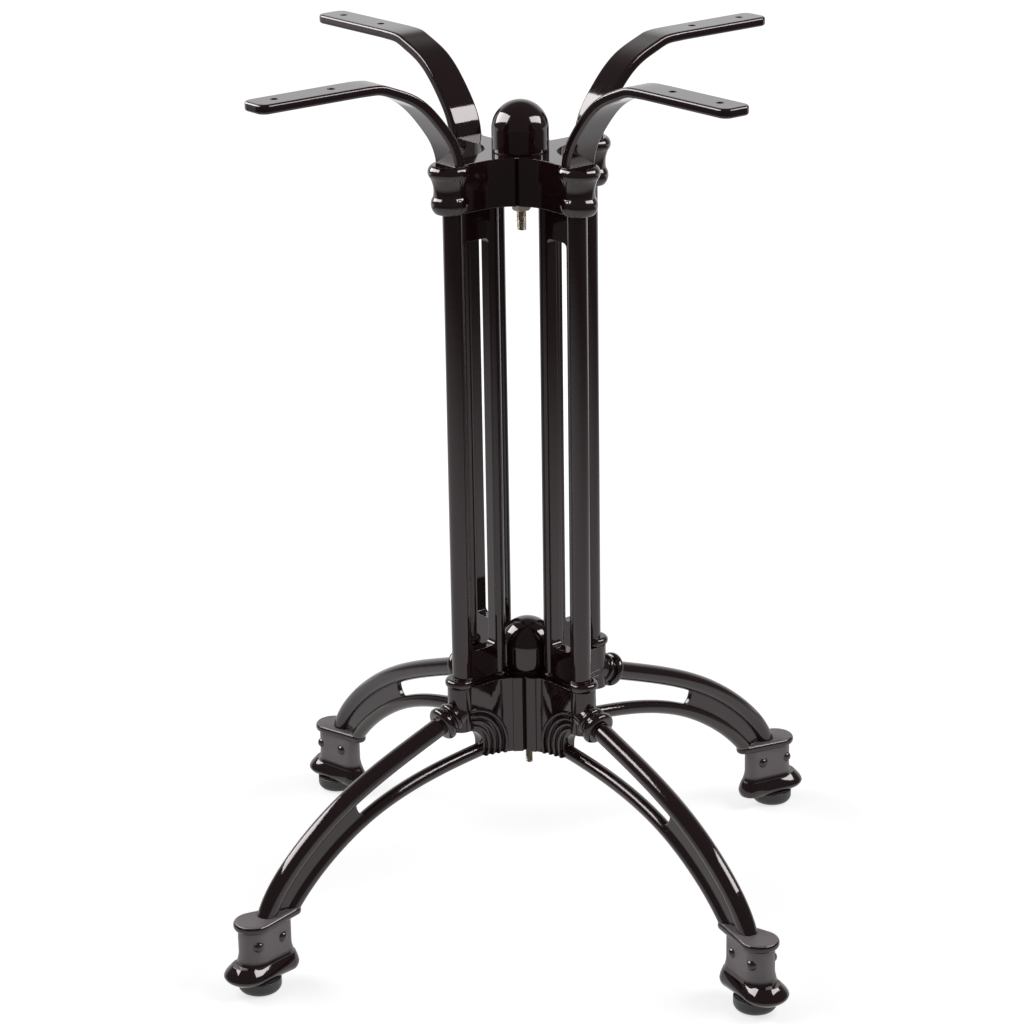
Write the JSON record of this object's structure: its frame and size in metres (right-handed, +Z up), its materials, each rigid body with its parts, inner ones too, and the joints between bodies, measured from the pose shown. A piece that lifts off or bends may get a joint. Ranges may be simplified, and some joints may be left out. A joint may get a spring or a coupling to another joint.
{
  "type": "table base",
  "caption": "Gloss black cast table base: slotted columns between two domed hubs, curved arms with drilled pads above, arched slotted legs on levelling glides below.",
  "frame": {"origin": "on the floor under the middle of the base", "axes": "+Z up along the tie rods, legs along -Y (front), +X (right), +Y (back) and -X (left)"},
  "size_m": [0.623, 0.623, 0.72],
  "materials": {
    "black_paint": "gloss",
    "zinc_steel": "satin",
    "black_plastic": "matte"
  },
  "bodies": {
    "frame": {"arm_right": "black_paint", "arm_back": "black_paint", "arm_left": "black_paint", "arm_front": "black_paint", "column_right": "black_paint", "column_back": "black_paint", "column_left": "black_paint", "column_front": "black_paint", "leg_right": "black_paint", "leg_back": "black_paint", "leg_left": "black_paint", "leg_front": "black_paint", "dome_cap_upper": "black_paint", "tie_rod_upper": "zinc_steel", "washer_upper": "zinc_steel", "nut_upper": "zinc_steel", "column_studs_upper": "zinc_steel", "dome_cap_lower": "black_paint", "tie_rod_lower": "zinc_steel", "washer_lower": "zinc_steel", "nut_lower": "zinc_steel", "column_studs_lower": "zinc_steel"},
    "glide_right": {"glide_right": "black_plastic", "glide_stem_right": "zinc_steel"},
    "glide_back": {"glide_back": "black_plastic", "glide_stem_back": "zinc_steel"},
    "glide_left": {"glide_left": "black_plastic", "glide_stem_left": "zinc_steel"},
    "glide_front": {"glide_front": "black_plastic", "glide_stem_front": "zinc_steel"}
  },
  "joints": [
    {"name": "level_right", "type": "slide", "parent": "frame", "child": "glide_right", "axis": [0, 0, -1], "range_m": [0, 0.012]},
    {"name": "level_back", "type": "slide", "parent": "frame", "child": "glide_back", "axis": [0, 0, -1], "range_m": [0, 0.012]},
    {"name": "level_left", "type": "slide", "parent": "frame", "child": "glide_left", "axis": [0, 0, -1], "range_m": [0, 0.012]},
    {"name": "level_front", "type": "slide", "parent": "frame", "child": "glide_front", "axis": [0, 0, -1], "range_m": [0, 0.012]}
  ]
}
